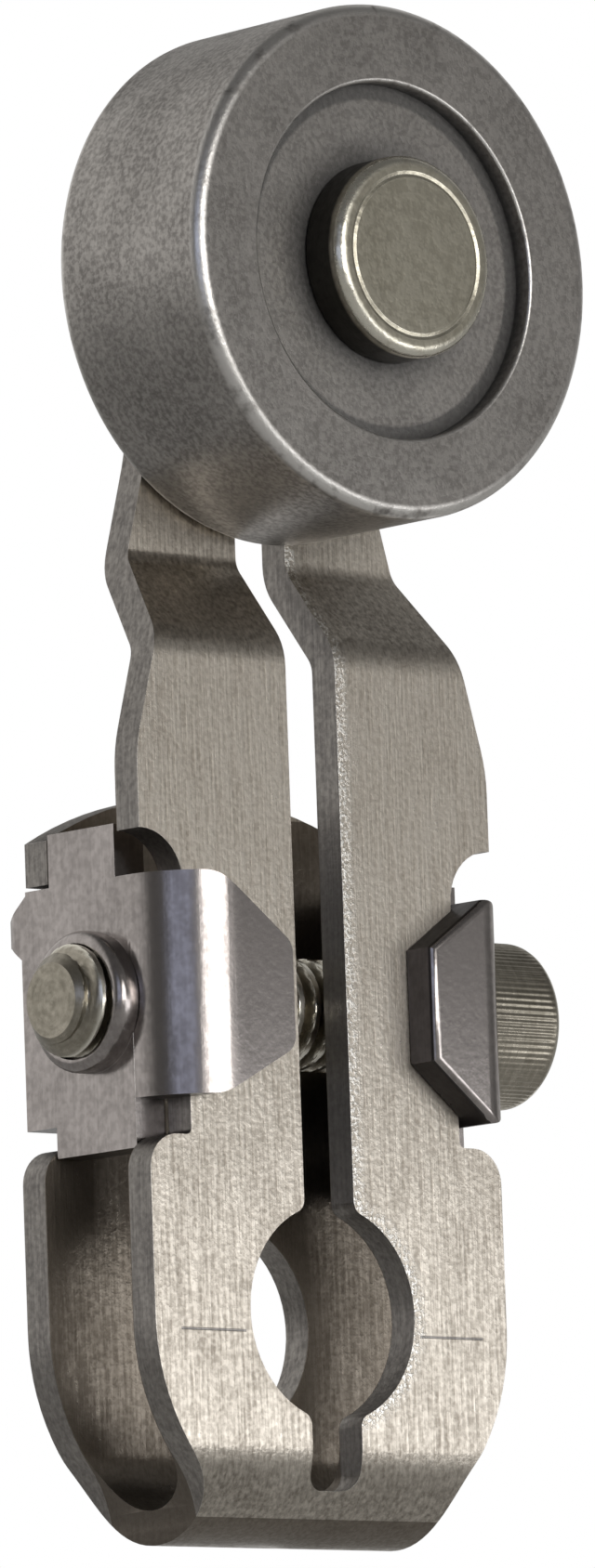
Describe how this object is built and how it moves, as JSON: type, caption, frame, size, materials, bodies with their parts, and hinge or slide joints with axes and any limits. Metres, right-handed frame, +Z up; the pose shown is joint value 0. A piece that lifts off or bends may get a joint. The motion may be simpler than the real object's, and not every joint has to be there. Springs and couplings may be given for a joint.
{
  "type": "roller lever arm",
  "caption": "Folded steel lever that clamps on a round control shaft with a cross screw and carries a steel roller on a riveted pin.",
  "frame": {"origin": "on the shaft bore's axis, midway between the outer faces of the two clamp walls", "axes": "+Z up the arm to the roller, -Y towards the roller side, +X towards the head of the clamp screw"},
  "size_m": [0.0222, 0.0152, 0.0559],
  "materials": {
    "strap_steel": "brushed along the arm",
    "roller_steel": "matt, fine grain",
    "bush_bronze": "porous, oiled",
    "pin_steel": "turned",
    "clip_steel": "satin",
    "screw_steel": "turned and rolled"
  },
  "bodies": {
    "lever": {"lever_strap": "strap_steel", "roller_pin": "pin_steel", "nut_clip": "clip_steel"},
    "roller_wheel": {"roller": "roller_steel", "roller_bush": "bush_bronze"},
    "saddle": {"saddle_clip": "clip_steel"},
    "screw": {"clamp_screw": "screw_steel"}
  },
  "joints": [
    {"name": "roller_spin", "type": "hinge", "parent": "lever", "child": "roller_wheel", "pos_m": [0, -0.00513, 0.0381], "axis": [0, 1, 0], "continuous": true},
    {"name": "saddle_slide", "type": "slide", "parent": "lever", "child": "saddle", "axis": [1, 0, 0], "range_m": [0, 0.00119]},
    {"name": "screw_turn", "type": "hinge", "parent": "saddle", "child": "screw", "pos_m": [0.008, 0, 0.01141], "axis": [1, 0, 0], "range_deg": [0, 540]}
  ],
  "couplings": [
    {"joint": "screw_turn", "follows": "saddle_slide", "rad_per_m": 7913.3}
  ]
}
